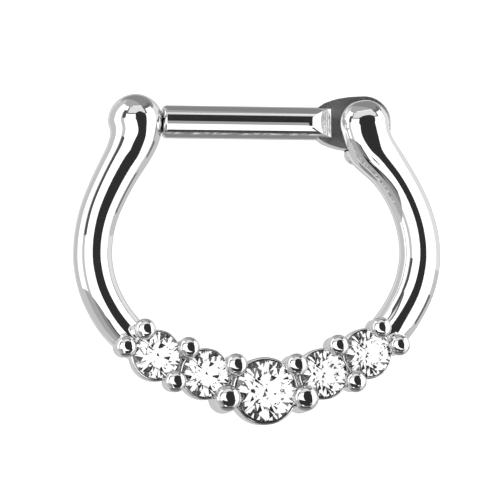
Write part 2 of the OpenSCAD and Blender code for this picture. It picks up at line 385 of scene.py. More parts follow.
class Board:
    """The node tree of one material."""

    def __init__(self, name: str) -> None:
        """Starts an empty material with a Principled shader."""
        self.material = bpy.data.materials.new(name)
        self.material.use_nodes = True
        self.tree = self.material.node_tree
        self.shader = self.tree.nodes["Principled BSDF"]

    def node(self, kind: str, settings: dict[str, object],
             inputs: dict[int | str, object], output: int | str = 0) -> Wire:
        """Adds a node.

        Args:
            kind: The node's type.
            settings: Its settings, which are made first.
            inputs: Values or wires for its sockets.
            output: Which output is handed back.

        Returns:
            The wire from that output.
        """
        made = self.tree.nodes.new(kind)
        for key, value in settings.items():
            setattr(made, key, value)
        for key, value in inputs.items():
            self.feed(made.inputs[key], value)
        return Wire(self, made.outputs[output])

    def feed(self, socket: bpy.types.NodeSocket, value: object) -> None:
        """Links a wire to a socket, or sets the socket's own value."""
        if isinstance(value, Wire):
            self.tree.links.new(value.socket, socket)
        else:
            socket.default_value = value

    def shade(self, values: dict[str, object]) -> None:
        """Feeds the shader's sockets by their names."""
        for name, value in values.items():
            self.feed(self.shader.inputs[name], value)

    def place(self) -> Wire:
        """Object coordinates of the surface."""
        return self.node("ShaderNodeTexCoord", {}, {}, "Object")

    def along_and_across(self) -> tuple[Wire, Wire]:
        """Places along the bar's axis and across it, in metres."""
        apart = self.node("ShaderNodeSeparateXYZ", {}, {0: self.place()}, "X")
        return apart, Wire(self, apart.socket.node.outputs["Y"])

    def waves(self, size: float, unevenness: float = 1.5, detail: float = 2.0) -> Wire:
        """Marks across the bar, between 0 and 1.

        Args:
            size: Spacing of the marks in millimetres.
            unevenness: How far the marks wander.
            detail: How much finer structure is added.

        Returns:
            The marks' height.
        """
        return self.node("ShaderNodeTexWave", {"bands_direction": "X"}, {
            "Vector": self.place(), "Scale": WAVE_SPACING / (size * MM),
            "Distortion": unevenness, "Detail": detail, "Detail Scale": detail}, "Fac")

    def noise(self, scale: float, detail: float, stretch: tuple[float, float, float] = (1, 1, 1)
              ) -> Wire:
        """A noise over the surface, between 0 and 1.

        Args:
            scale: Cells for each metre.
            detail: How much finer structure is added.
            stretch: Scale of each axis, to draw the cells out.

        Returns:
            The noise's value.
        """
        at = self.node("ShaderNodeMapping", {}, {"Vector": self.place(), "Scale": stretch})
        return self.node("ShaderNodeTexNoise", {}, {"Vector": at, "Scale": scale, "Detail": detail})

    def bump(self, height: Wire, depth: float, under: Wire) -> Wire:
        """Raises the surface over another normal.

        Args:
            height: Where it is raised, between 0 and 1.
            depth: How far it is raised, in millimetres.
            under: The normal that it starts from.

        Returns:
            The new normal.
        """
        return self.node("ShaderNodeBump", {}, {
            "Strength": 1.0, "Distance": depth * MM, "Height": height, "Normal": under})

    def dress(self, piece: bpy.types.Object) -> None:
        """Gives a piece this material and no other."""
        piece.data.materials.clear()
        piece.data.materials.append(self.material)


class Spread(NamedTuple):
    """How a value varies over a surface: its least and how much a noise adds to it."""

    least: float
    more: float

    def over(self, noise: Wire) -> Wire:
        """The value over a noise between 0 and 1."""
        return self.least + self.more * noise


@dataclass(frozen=True)
class PolishedMetal:
    """A mirror finish with the slight waves, fine lines and smears that polishing leaves.

    The sizes and depths are in millimetres, and the cells are those in a metre. A milled
    finish has an oval of marks round the place that milled names, and a duller flat.
    """

    name: str
    colour: tuple[float, float, float]
    roughness: float
    wave_size: float
    wave_depth: float
    line_depth: float
    line_stretch: tuple[float, float, float] = (1, 1, 1)
    line_cells: float = 9000.0
    smear_cells: float = 900.0
    smeared: Spread = Spread(0.6, 0.8)
    edge_round: float = 0.02
    edge_samples: int = 6
    milled: tuple[float, float] | None = None
    milled_long: float = 0.2
    milled_wide: float = 0.5
    milled_roughness: float = 0.14
    mark_size: float = 0.075
    mark_depth: float = 0.04
    flat_ahead: float = 0.17
    flat_roughness: float = 0.16
    flat_smeared: Spread = Spread(0.4, 1.2)

    def board(self) -> Board:
        """Builds the finish.

        Returns:
            The material's board.
        """
        board = Board(self.name)
        waves = board.noise(1 / (self.wave_size * MM), detail=1.0)
        lines = board.noise(self.line_cells, detail=2.0, stretch=self.line_stretch)
        smears = board.noise(self.smear_cells, detail=3.0)
        surface = board.node("ShaderNodeBevel", {"samples": self.edge_samples},
                             {"Radius": self.edge_round * MM})
        surface = board.bump(waves, self.wave_depth, surface)
        surface = board.bump(lines, self.line_depth, surface)
        roughness = self.roughness * self.smeared.over(smears)
        if self.milled:
            along, across = board.along_and_across()
            ahead = (along - self.milled[0] * MM) * (1 / (self.milled_long * MM))
            aside = (across - self.milled[1] * MM) * (1 / (self.milled_wide * MM))
            milled = 1 - (ahead * ahead + aside * aside).above(1)
            flat = along.above((self.milled[0] - self.flat_ahead) * MM) * (1 - milled)
            roughness = (roughness + self.milled_roughness * milled
                         + self.flat_roughness * flat * self.flat_smeared.over(smears))
            marks = board.waves(self.mark_size) * milled
            surface = board.bump(marks, self.mark_depth, surface)
        board.shade({"Base Color": (*self.colour, 1), "Metallic": 1.0,
                     "Roughness": roughness, "Normal": surface})
        return board


@dataclass(frozen=True)
class CutStone:
    """Clear stone with sharp facets."""

    name: str
    bend: float
    tint: tuple[float, float, float]
    glint: float = 0.2

    def board(self) -> Board:
        """Builds the finish.

        Returns:
            The material's board.
        """
        board = Board(self.name)
        board.shade({"Base Color": (*self.tint, 1), "Roughness": 0.0, "IOR": self.bend,
                     "Specular IOR Level": self.glint, "Transmission Weight": 1.0})
        return board


@dataclass(frozen=True)
class EvenGlow:
    """A plain surface that gives off an even white light."""

    name: str
    strength: float
    grey: float = 0.0
    roughness: float = 0.5
    gloss: float = 0.0

    def board(self) -> Board:
        """Builds the finish.

        Returns:
            The material's board.
        """
        board = Board(self.name)
        board.shade({"Base Color": (self.grey, self.grey, self.grey, 1),
                     "Roughness": self.roughness, "Specular IOR Level": self.gloss,
                     "Emission Color": (1, 1, 1, 1), "Emission Strength": self.strength})
        return board


@dataclass
class Places:
    """Where the pieces lie, in millimetres, as the fixed frame has them, and their gap."""

    hinge: Vector
    stones: dict[str, tuple[Vector, float]]
    ball_x: float = -4.41
    ball_flat: float = 0.93
    run_gap: float = 0.05

    @classmethod
    def read(cls, frame: dict) -> "Places":
        """Reads the hinge from the joint and the stones from their nodes.

        Args:
            frame: What the fixed frame holds.

        Returns:
            The places.
        """
        stones = {}
        for name in frame["nodes"]:
            if "stone" in name:
                low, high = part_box(name)
                stones[name] = ((low + high) / 2 / MM, (high.x - low.x) / MM)
        return cls(Vector(frame["joints"][0]["pos_m"]) / MM, stones)

    @property
    def middle(self) -> float:
        """Height of the bar's and the wire's axis."""
        return self.hinge.z

    @property
    def ball(self) -> Vector:
        """Middle of the left head, level with the hinge, seen from above."""
        return Vector((self.ball_x, self.hinge.y))

    def stone(self, name: str) -> Vector:
        """Middle of a stone, seen from above."""
        return self.stones[name][0].to_2d()

    def width(self, name: str) -> float:
        """Diameter of a stone."""
        return self.stones[name][1]


@dataclass
class Leg:
    """One leg of the wire, with the head on top of it."""

    head: Vector
    head_radius: float
    wire_radius: float
    reach: float
    belly: float
    belly_swell: float
    lean: Vector
    upper: Sequence[LegRow]
    lower: Sequence[LegRow]
    dome_top: Sequence[float] = (78, 64, 50, 36, 24, 12)
    dome_foot: Sequence[float] = (0, -14)

    def dome(self, angles: Sequence[float]) -> list[Station]:
        """Sections that lie on the head's own sphere."""
        way = self.lean.normalized()
        return [Station(self.head.x + self.head_radius * math.sin(math.radians(a)) * way.x,
                        self.head.y + self.head_radius * math.sin(math.radians(a)) * way.y,
                        self.head_radius * math.cos(math.radians(a))) for a in angles]

    def swollen(self, share: float) -> float:
        """Radius at a share of the swell from the wire to the head."""
        return self.wire_radius + (self.head_radius - self.wire_radius) * share

    def down(self, stone: Vector) -> list[Station]:
        """Sections from under the head to the end stone.

        Args:
            stone: Middle of the end stone.

        Returns:
            The sections, from the top down.
        """
        rows = self.dome(self.dome_foot)
        for row in self.upper:
            rows.append(Station(self.head.x + (self.reach - self.head.x) * row.out,
                                self.belly + (self.head.y - self.belly) * row.level,
                                self.swollen(row.swell)))
        rows.append(Station(self.reach, self.belly, self.swollen(self.belly_swell)))
        for row in self.lower:
            rows.append(Station(self.reach + (stone.x - self.reach) * row.out,
                                self.belly + (stone.y - self.belly) * row.level,
                                self.swollen(row.swell)))
        return rows

    def tip(self) -> Vector:
        """The point where the head's dome ends."""
        return self.head + self.lean.normalized() * self.head_radius


@dataclass
class TabOutline:
    """Outline of the bar's flat end, the same for the tab and for the slot round it."""

    radius: float = 1.0
    flare: float = 1.66
    bar_radius: float = 0.6
    round_steps: int = 24
    last_angle: float = 4.0
    strip: float = 0.02
    widening: tuple[tuple[float, float], ...] = (
        (1.1, -0.3), (1.0, 0.0), (0.9, 0.3), (0.72, 0.58), (0.57, 0.75), (0.36, 0.9), (0.18, 0.96))

    def rows(self, grow: float) -> list[tuple[float, float]]:
        """Distance from the hinge and half width of each row, from the bar to the end.

        Args:
            grow: How much the outline is wider than the tab.

        Returns:
            The rows.
        """
        step = self.radius - self.bar_radius
        rows = [(-self.flare * out, self.bar_radius + step * wide + grow)
                for out, wide in self.widening]
        full = self.radius + grow
        for k in range(self.round_steps):
            angle = math.radians(90 - (90 - self.last_angle) * k / (self.round_steps - 1))
            rows.append((full * math.cos(angle), full * math.sin(angle)))
        return rows

    def plate(self, name: str, hinge: Vector, thick: float, grow: float) -> bpy.types.Object:
        """Draws the outline row by row and gives it its thickness.

        Args:
            name: The piece's name.
            hinge: The hinge's middle.
            thick: Thickness of the plate.
            grow: How much the outline is wider than the tab.

        Returns:
            The closed plate.
        """
        rows = self.rows(grow)
        out, half = rows[0]
        level = -thick / 2
        piece = Bench.start(name, bpy.ops.mesh.primitive_plane_add, size=1)
        piece.scale = (self.strip, 2 * half, 1)
        Bench.place(piece, (out - self.strip / 2, 0, level))
        Bench.release(piece)
        points = piece.data.vertices
        end = max(piece.data.edges, key=lambda edge: sum(points[k].co.x for k in edge.vertices))
        end.select = True
        with Bench.editing(piece):
            for row in rows[1:]:
                Bench.pull(row[0] - out, 0, 0)
                Bench.stretch(1, row[1] / half, 1, (row[0], 0, level))
                out, half = row
            bpy.ops.mesh.select_all(action="SELECT")
            Bench.pull(0, 0, thick)
        Bench.place(piece, hinge)
        Bench.outwards(piece)
        return piece


@dataclass
class MetalPiece:
    """What every metal piece has: its places, its finish and how it is finished."""

    places: Places
    finish: PolishedMetal

    def finished(self, piece: bpy.types.Object, crisp: float) -> bpy.types.Object:
        """Smooths, scales and dresses a piece.

        Args:
            piece: The piece in millimetres.
            crisp: The angle in degrees over which edges stay crisp.

        Returns:
            The same piece, in metres.
        """
        Bench.smooth(piece, crisp)
        Bench.to_metres(piece)
        self.finish.board().dress(piece)
        return piece


@dataclass
class RingFrame(MetalPiece):
    """The cast frame: two legs with their heads, the gallery rail, cups and prongs."""

    tab: TabOutline
    ball_radius: float = 1.0
    knob_radius: float = 0.92
    left_wire: float = 0.7
    right_wire: float = 0.73
    left_swell: float = 0.0
    right_swell: float = 0.1
    left_lean: float = 0.08
    right_lean: float = -0.2
    reach: float = 5.97
    belly: float = 0.16
    rail_radius: float = 0.62
    heel_radius: float = 0.4
    heel_at: tuple[float, float, float] = (-0.27, -1.06, -0.25)
    heel_foot: float = -86.0
    heel_steps: int = 28
    notch_from: float = 0.25
    notch_depth: float = 0.46
    flat_half: float = 0.5
    flat_deep: float = 1.5
    slot_width: float = 0.7
    stone_gap: float = 0.03
    girdle: float = 0.05
    rim_drop: float = 0.05
    centre_wall: float = 0.125
    side_wall: float = 0.09
    cup_foot: float = 0.78
    prong_foot: float = 0.55
    foot_height: float = 0.3
    ball_lift: float = 0.12
    grip: float = 0.1
    rim_round: float = 0.8
    rim_steps: int = 8
    square: float = 2.7
    square_from: float = 3.6
    square_full: float = 4.4
    button_square: float = 2.5
    button_height: float = 0.92
    button_steps: int = 24
    pin_hole: float = 0.36
    pin_cover: float = 0.11
    end_slope: float = 38.5
    sides: int = 24
    heading_span: int = 3
    smoothing: int = 2
    crisp: float = 32.0
    table_share: float = 0.56
    crown_tan: float = 0.6745
    star_share: float = 0.8
    lower_share: float = 0.22
    pavilion_tan: float = 0.8693
    hole_share: float = 0.6
    seat_foot: float = -1.0
    left_upper: tuple[LegRow, ...] = (
        LegRow(0.03, 0.87, 0.62), LegRow(0.13, 0.79, 0.44), LegRow(0.25, 0.715, 0.28),
        LegRow(0.44, 0.605, 0.17), LegRow(0.67, 0.455, 0.09), LegRow(0.86, 0.3, 0.03),
        LegRow(0.97, 0.14, 0.0))
    right_upper: tuple[LegRow, ...] = (
        LegRow(0.07, 0.87, 0.82), LegRow(0.17, 0.79, 0.7), LegRow(0.33, 0.715, 0.36),
        LegRow(0.53, 0.61, 0.02), LegRow(0.745, 0.455, -0.09), LegRow(0.9, 0.29, -0.02),
        LegRow(0.98, 0.14, 0.05))
    left_lower: tuple[LegRow, ...] = (
        LegRow(0.02, 0.15, 0.02), LegRow(0.1, 0.35, 0.02), LegRow(0.27, 0.56, 0.02),
        LegRow(0.5, 0.745, 0.0))
    right_lower: tuple[LegRow, ...] = (
        LegRow(0.03, 0.15, 0.14), LegRow(0.12, 0.35, 0.12), LegRow(0.3, 0.56, 0.06),
        LegRow(0.52, 0.745, 0.0))
    outer_prongs: tuple[ProngRow, ...] = (
        ProngRow(0.02, 1, 0.475, 0.43), ProngRow(-0.02, -1, 0.48, 0.43))
    inner_prongs: tuple[ProngRow, ...] = (
        ProngRow(-0.075, 1, 0.495, 0.45), ProngRow(-0.04, -1, 0.575, 0.64))
    end_prongs: tuple[ProngRow, ...] = (
        ProngRow(1.1, 0.53, 0.465, 0.42), ProngRow(1.28, -0.56, 0.465, 0.42))
    big_grip: float = 0.04

    def legs(self) -> tuple[Leg, Leg]:
        """Gathers each leg's sizes.

        Returns:
            The left and the right leg.
        """
        left = Leg(self.places.ball, self.ball_radius, self.left_wire, -self.reach, self.belly,
                   self.left_swell, Vector((self.left_lean, 1)), self.left_upper,
                   self.left_lower)
        right = Leg(self.places.hinge.to_2d(), self.knob_radius, self.right_wire, self.reach,
                    self.belly, self.right_swell, Vector((self.right_lean, 1)),
                    self.right_upper, self.right_lower)
        return left, right

    def course(self) -> list[Station]:
        """Lays the wire's sections in a row.

        Returns:
            All sections, from the left head round the row to the right head.
        """
        left, right = self.legs()
        row = ["stone_left_outer", "stone_left_inner", "centre_stone",
               "stone_right_inner", "stone_right_outer"]
        rail = [Station(*self.places.stone(name), self.rail_radius) for name in row]
        rows = left.down(self.places.stone(row[0])) + rail
        rows += list(reversed(right.down(self.places.stone(row[-1]))))
        smooth = []
        for k in range(len(rows) - 1):
            smooth += [rows[k], self.between(rows, k)]
        smooth.append(rows[-1])
        return left.dome(left.dome_top) + smooth + list(reversed(right.dome(right.dome_top)))

    @staticmethod
    def between(rows: Sequence[Station], k: int) -> Station:
        """The section half way between two rows, on a smooth curve through four.

        Args:
            rows: All rows.
            k: Index of the row before.

        Returns:
            The new section.
        """
        four = [rows[max(0, min(len(rows) - 1, k + step))] for step in (-1, 0, 1, 2)]
        return Station(*(sum(w * row[axis] for w, row in zip(HALF_WAY, four))
                         for axis in range(3)))

    def headings(self, stations: Sequence[Station]) -> list[float]:
        """The way that the wire runs at each section, in radians."""
        count, span = len(stations), self.heading_span
        ends = [(stations[max(0, k - span)], stations[min(count - 1, k + span)])
                for k in range(count)]
        return [math.atan2(b.y - a.y, b.x - a.x) for a, b in ends]

    def wire(self) -> bpy.types.Object:
        """Draws a ring of edges along the course and smooths the skin it leaves.

        Returns:
            The closed wire.
        """
        stations = self.course()
        headings = self.headings(stations)
        left, right = self.legs()
        first = stations[0]
        # Smoothing draws a ring in by this share, so that it starts larger
        full = 3 / (2 + math.cos(FULL_TURN / self.sides))
        piece = Bench.start(
            "ring_frame_polished", bpy.ops.mesh.primitive_circle_add, vertices=self.sides,
            radius=first.radius * full, location=(first.x, first.y, self.places.middle),
            rotation=(0, math.pi / 2, headings[0]))
        Bench.settle(piece)
        with Bench.editing(piece):
            self.close_end(left.tip(), first)
            for k in range(1, len(stations)):
                last, here = stations[k - 1], stations[k]
                at = (here.x, here.y, self.places.middle)
                Bench.pull(here.x - last.x, here.y - last.y, 0)
                turn = (headings[k] - headings[k - 1] + math.pi) % FULL_TURN - math.pi
                bpy.ops.transform.rotate(value=-turn, orient_axis="Z", center_override=at)
                share = here.radius / last.radius
                Bench.stretch(share, share, share, at)
            tip = right.tip()
            Bench.pull(tip.x - stations[-1].x, tip.y - stations[-1].y, 0)
            bpy.ops.mesh.merge(type="CENTER")
        self.square_off(piece, stations, headings)
        Bench.outwards(piece)
        Bench.modify(piece, "SUBSURF", levels=self.smoothing, render_levels=self.smoothing)
        return piece

    @staticmethod
    def miss(point: Vector, middle: Vector, way: Vector, radius: float) -> float:
        """How far a point is from a section's round.

        Args:
            point: The point.
            middle: Middle of the section.
            way: The way that the wire runs there.
            radius: Radius of the section.

        Returns:
            The distance along the wire and the one across it, added.
        """
        out = point - middle
        return abs(out.dot(way)) + abs(out.length - radius)

    def square_off(self, piece: bpy.types.Object, stations: Sequence[Station],
                   headings: Sequence[float]) -> None:
        """Flattens the knob's face and squares its sections, more so higher up.

        Args:
            piece: The swept wire, before it is smoothed.
            stations: The sections of the wire.
            headings: The way that the wire runs at each section, in radians.
        """
        rounds = [(Vector((here.x, here.y, self.places.middle)),
                   Vector((math.cos(heading), math.sin(heading), 0)), here.radius)
                  for here, heading in zip(stations, headings) if here.x >= 0]
        for vertex in piece.data.vertices:
            point = vertex.co.copy()
            if point.x < 0 or point.y < self.square_from:
                continue
            middle, way, _ = min(rounds, key=lambda part: self.miss(point, *part))
            rise = min(1, (point.y - self.square_from) / (self.square_full - self.square_from))
            power = 2 / (2 + (self.square - 2) * rise)
            out, across = point - middle, Vector((way.y, -way.x, 0))
            size = out.length
            side, lift = out.dot(across) / size, out.z / size
            vertex.co = (middle + across * size * signed_power(side, power)
                         + Vector((0, 0, size * signed_power(lift, power))))

    @staticmethod
    def close_end(tip: Vector, first: Station) -> None:
        """Closes the first ring with a fan to the tip, and selects the ring again.

        Args:
            tip: The point where the dome ends.
            first: The section of the first ring.
        """
        Bench.pull(tip.x - first.x, tip.y - first.y, 0)
        bpy.ops.mesh.merge(type="CENTER")
        bpy.ops.mesh.select_non_manifold()

    def girdle_height(self, name: str) -> float:
        """Height of a stone's girdle."""
        low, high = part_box(name)
        return high.z / MM - self.places.width(name) / 2 * (1 - self.table_share) * self.crown_tan

    def cup(self, name: str, wall: float) -> bpy.types.Object:
        """Turns the cup of one stone, with a rounded rim.

        Args:
            name: The stone's node.
            wall: Wall of the cup, outside the stone.

        Returns:
            The solid cup, before its seat is cut.
        """
        radius = self.places.width(name) / 2 + wall
        rim = self.girdle_height(name) - self.girdle - self.rim_drop
        soft = wall * self.rim_round
        profile = [ProfilePoint(radius * self.cup_foot, 0),
                   ProfilePoint(radius, self.places.middle)]
        profile += arc(soft, rim - soft, 0, 90, self.rim_steps, radius - soft)
        return Bench.turned(f"cup_{name}", profile, self.places.stone(name).to_3d())

    def prong(self, at: Vector, girdle: float, ball: float, stem: float) -> bpy.types.Object:
        """Turns a prong: a foot, a stem and a round ball.

        Args:
            at: Place of the prong.
            girdle: Height of the girdle that it holds.
            ball: Radius of its ball.
            stem: Radius of its stem.

        Returns:
            The prong.
        """
        top = girdle + self.ball_lift
        power = 2 / self.button_square
        profile = [ProfilePoint(stem * self.prong_foot, self.foot_height),
                   ProfilePoint(stem, self.places.middle)]
        if stem < ball:
            meet = -math.degrees(math.acos((stem / ball) ** (1 / power)))
        else:
            meet = 0
        for point in arc(1, 0, meet, 90, self.button_steps):
            profile.append(ProfilePoint(
                ball * point.radius ** power,
                top + ball * self.button_height * signed_power(point.height, power)))
        return Bench.turned("prong", profile, at.to_3d())

    def gap_prongs(self, rows: Sequence[ProngRow], stone: str, beside: str,
                   girdle: float) -> list[bpy.types.Object]:
        """The two prongs that stand in the gap between two stones.

        Args:
            rows: The prongs' rows.
            stone: The stone further from the middle.
            beside: The stone nearer to the middle.
            girdle: Height of the girdle that they hold.

        Returns:
            The prongs.
        """
        outer, inner = self.places.stone(stone), self.places.stone(beside)
        way = (outer - inner).normalized()
        side = math.copysign(1, way.x)
        up = Vector((-way.y, way.x)) * side
        half = self.places.width(stone) / 2
        gap = (outer - inner).length - half - self.places.width(beside) / 2
        made = []
        for row in rows:
            ball = row.ball * half
            grip = self.grip + (self.big_grip if row.stem > row.ball else 0)
            along = half + gap / 2
            across = math.sqrt((half + ball - grip) ** 2 - along ** 2)
            at = outer - way * (along + row.along * half) + up * row.across * across
            made.append(self.prong(at, girdle, ball, row.stem * half))
        return made

    def setting(self) -> list[bpy.types.Object]:
        """The cups and the prongs.

        Returns:
            All of them, still apart.
        """
        made = [self.cup("centre_stone", self.centre_wall)]
        centre = self.girdle_height("centre_stone")
        for side, sign in (("left", -1), ("right", 1)):
            inner, outer = f"stone_{side}_inner", f"stone_{side}_outer"
            girdle = self.girdle_height(outer)
            made += [self.cup(inner, self.side_wall), self.cup(outer, self.side_wall)]
            made += self.gap_prongs(self.inner_prongs, inner, "centre_stone", centre)
            made += self.gap_prongs(self.outer_prongs, outer, inner, girdle)
            slope = math.radians(self.end_slope)
            way = Vector((sign * math.cos(slope), math.sin(slope)))
            up = Vector((-way.y, way.x)) * sign
            half = self.places.width(outer) / 2
            for row in self.end_prongs:
                at = self.places.stone(outer) + (way * row.along + up * row.across) * half
                made.append(self.prong(at, girdle, row.ball * half, row.stem * half))
        return made

    def seat(self, name: str) -> bpy.types.Object:
        """What a stone and its open back take out of the metal.

        Args:
            name: The stone's node.

        Returns:
            The cutter.
        """
        half = self.places.width(name) / 2
        girdle = self.girdle_height(name)
        radius = half + self.stone_gap
        hole = radius * self.hole_share
        base = girdle - self.girdle - self.stone_gap
        star = (1 - self.star_share * math.cos(HALF_FACET)) * self.crown_tan
        fall = (1 - self.lower_share * math.cos(HALF_FACET)) * self.pavilion_tan
        crown = (1 - self.table_share) * self.crown_tan
        profile = [ProfilePoint(hole, self.seat_foot),
                   ProfilePoint(hole, base - (radius - hole) * fall / (1 - self.lower_share)),
                   ProfilePoint(radius, base),
                   ProfilePoint(radius, girdle + self.stone_gap),
                   ProfilePoint(radius * self.star_share + self.stone_gap,
                                girdle + half * star + self.stone_gap),
                   ProfilePoint(radius * self.table_share + self.stone_gap,
                                girdle + half * crown + self.stone_gap)]
        return Bench.turned("seat", profile, self.places.stone(name).to_3d())

    def heel(self) -> bpy.types.Object:
        """The rounded heel under the hinge."""
        profile = arc(self.heel_radius, 0, self.heel_foot, 90, self.heel_steps)
        return Bench.turned("heel", profile, self.places.hinge + Vector(self.heel_at))

    def cutters(self) -> list[bpy.types.Object]:
        """Makes everything that is cut out of the joined frame.

        Returns:
            The seats, the notch, the flat, the slot and the hole for the pin.
        """
        hinge, ball, middle = self.places.hinge, self.places.ball, self.places.middle
        notch_x, notch_y = ball.x + self.notch_from, ball.y - self.notch_depth
        flat_x = ball.x + self.places.ball_flat
        bore = [ProfilePoint(self.pin_hole, -BEYOND),
                ProfilePoint(self.pin_hole, middle + self.knob_radius - self.pin_cover)]
        return [
            *(self.seat(name) for name in self.places.stones),
            Bench.block("notch", Vector((notch_x, notch_y, middle - BEYOND)),
                        Vector((notch_x + BEYOND, notch_y + BEYOND, middle))),
            Bench.block("flat", Vector((flat_x, ball.y - self.flat_half, middle - self.flat_deep)),
                        Vector((flat_x + self.flat_deep, ball.y + self.flat_half,
                                middle + self.flat_deep))),
            self.tab.plate("slot", hinge, self.slot_width, self.places.run_gap),
            Bench.turned("pin_hole", bore, (hinge.x, hinge.y, 0))]

    def build(self) -> bpy.types.Object:
        """Joins, cuts and dresses the frame.

        Returns:
            The finished piece.
        """
        piece = self.wire()
        for part in [self.heel(), *self.setting()]:
            Bench.cut(piece, part, Cut.JOIN)
        for cutter in self.cutters():
            Bench.cut(piece, cutter, Cut.REMOVE)
        return self.finished(piece, self.crisp)


@dataclass
class HingeBar(MetalPiece):
    """The steel bar: tongue, rounded tip, round rod, milled run-outs and flat tab."""

    tab: TabOutline
    radius: float = 0.6
    tip_long: float = 0.18
    tip_step: float = 0.12
    tip_gap: float = 0.03
    tip_steps: int = 6
    tongue: float = 0.6
    tongue_radius: float = 0.41
    tongue_edge: float = 0.04
    tongue_clear: float = 1.0
    tab_thick: float = 0.6
    tab_edge: float = 0.12
    edge_steps: int = 4
    edge_angle: float = 50.0
    runout: float = 2.05
    runout_bend: float = 1.2
    runout_steps: int = 10
    flat: float = 1.24
    mill_half: float = 2.0
    marks_back: float = 1.44
    hole: float = 0.37
    sides: int = 96
    crisp: float = 20.0

    def rod(self) -> bpy.types.Object:
        """Turns the round rod with its rounded tip.

        Returns:
            The rod, along the bar's axis.
        """
        shoulder = self.places.ball_flat + self.tip_gap
        tip = self.radius - self.tip_step
        profile = []
        for k in range(self.tip_steps + 1):
            turn = math.pi / 2 * k / self.tip_steps
            profile.append(ProfilePoint(tip + self.tip_step * math.sin(turn),
                                        shoulder + self.tip_long * (1 - math.cos(turn))))
        length = self.places.hinge.x - self.places.ball.x
        profile.append(ProfilePoint(self.radius, length - self.flat))
        return self.lay(Bench.turned("hinge_bar_polished", profile, sides=self.sides))

    def lay(self, piece: bpy.types.Object) -> bpy.types.Object:
        """Lays a turned shape along the bar's axis, from the ball's middle."""
        piece.rotation_euler = (0, math.pi / 2, 0)
        Bench.place(piece, (self.places.ball.x, self.places.ball.y, self.places.middle))
        return piece

    def tongue_piece(self) -> bpy.types.Object:
        """Makes the half-round tongue behind the ball's front half.

        Returns:
            The tongue.
        """
        shoulder = self.places.ball_flat + self.places.run_gap
        level = self.places.middle - self.places.run_gap
        profile = [ProfilePoint(self.tongue_radius - self.tongue_edge, shoulder - self.tongue),
                   ProfilePoint(self.tongue_radius, shoulder - self.tongue + self.tongue_edge),
                   ProfilePoint(self.tongue_radius, shoulder + self.tip_long / 2)]
        piece = self.lay(Bench.turned("tongue", profile, sides=self.sides))
        ball, clear = self.places.ball, self.tongue_clear
        upper = Bench.block("upper", Vector((ball.x - clear, ball.y - clear, level)),
                            Vector((ball.x + shoulder, ball.y + clear, level + 2 * clear)))
        Bench.cut(piece, upper, Cut.REMOVE)
        return piece

    def mill(self, face: int) -> bpy.types.Object:
        """The slightly hollow wedge that mills the rod down to the tab, on one face.

        Args:
            face: 1 for the front and -1 for the back.

        Returns:
            The cutter.
        """
        piece = Bench.block("mill", Vector((-self.flat, -self.mill_half, 0)),
                            Vector((BEYOND, self.mill_half, BEYOND)))
        Bench.release(piece)
        min(piece.data.polygons, key=lambda side: side.center.x).select = True
        deep = left = self.radius - self.tab_thick / 2
        step = (self.flat - self.runout) / self.runout_steps
        with Bench.editing(piece):
            for k in range(self.runout_steps):
                rest = deep * (1 - (k + 1) / self.runout_steps) ** self.runout_bend
                Bench.pull(step, 0, left - rest)
                left = rest
        Bench.outwards(piece)
        if face < 0:
            piece.rotation_euler = (math.pi, 0, 0)
        Bench.place(piece, self.places.hinge + Vector((0, 0, face * self.tab_thick / 2)))
        return piece

    def plate(self) -> bpy.types.Object:
        """The flat tab, with broken edges."""
        piece = self.tab.plate("tab", self.places.hinge, self.tab_thick, 0)
        Bench.modify(piece, "BEVEL", width=self.tab_edge, segments=self.edge_steps,
                     limit_method="ANGLE", angle_limit=math.radians(self.edge_angle))
        return piece

    def build(self) -> bpy.types.Object:
        """Joins, mills, drills and dresses the bar.

        Returns:
            The finished piece.
        """
        piece = self.rod()
        Bench.cut(piece, self.tongue_piece(), Cut.JOIN)
        for face in (1, -1):
            Bench.cut(piece, self.mill(face), Cut.REMOVE)
        Bench.cut(piece, self.plate(), Cut.JOIN)
        bore = [ProfilePoint(self.hole, -BEYOND), ProfilePoint(self.hole, BEYOND)]
        Bench.cut(piece, Bench.turned("bore", bore, self.places.hinge), Cut.REMOVE)
        return self.finished(piece, self.crisp)


@dataclass
class HingePin(MetalPiece):
    """The plain round pin, with a slightly broken edge at the back."""

    radius: float = 0.35
    edge: float = 0.04
    crisp: float = 30.0

    def build(self) -> bpy.types.Object:
        """Turns and dresses the pin.

        Returns:
            The finished piece.
        """
        low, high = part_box("hinge_pin")
        bottom = low.z / MM
        profile = [ProfilePoint(self.radius - self.edge, bottom),
                   ProfilePoint(self.radius, bottom + self.edge),
                   ProfilePoint(self.radius, high.z / MM)]
        at = (self.places.hinge.x, self.places.hinge.y, 0)
        return self.finished(Bench.turned("hinge_pin_polished", profile, at), self.crisp)


@dataclass(frozen=True)
class View:
    """How the photograph looks at the ring: its back, right and up directions."""

    across: float = -9.0
    below: float = -4.5
    roll: float = 0.35

    def back(self) -> Vector:
        """Direction from the ring to the camera."""
        a, b = math.radians(self.across), math.radians(self.below)
        return Vector((math.sin(a) * math.cos(b), math.sin(b), math.cos(a) * math.cos(b)))

    def right(self) -> Vector:
        """The picture's right."""
        return Vector((0, 1, 0)).cross(self.back()).normalized()

    def up(self) -> Vector:
        """The picture's upward direction."""
        return self.back().cross(self.right())

    def turn(self) -> Euler:
        """The camera's turn, rolled a little clockwise."""
        roll = math.radians(self.roll)
        right = self.right() * math.cos(roll) - self.up() * math.sin(roll)
        up = self.up() * math.cos(roll) + self.right() * math.sin(roll)
        return Matrix((right, up, self.back())).transposed().to_euler()

    def towards(self, right: float, up: float) -> Vector:
        """A direction that lies so many degrees right of the camera and above it."""
        h, v = math.radians(right), math.radians(up)
        level = self.back() * math.cos(h) + self.right() * math.sin(h)
        return level * math.cos(v) + self.up() * math.sin(v)


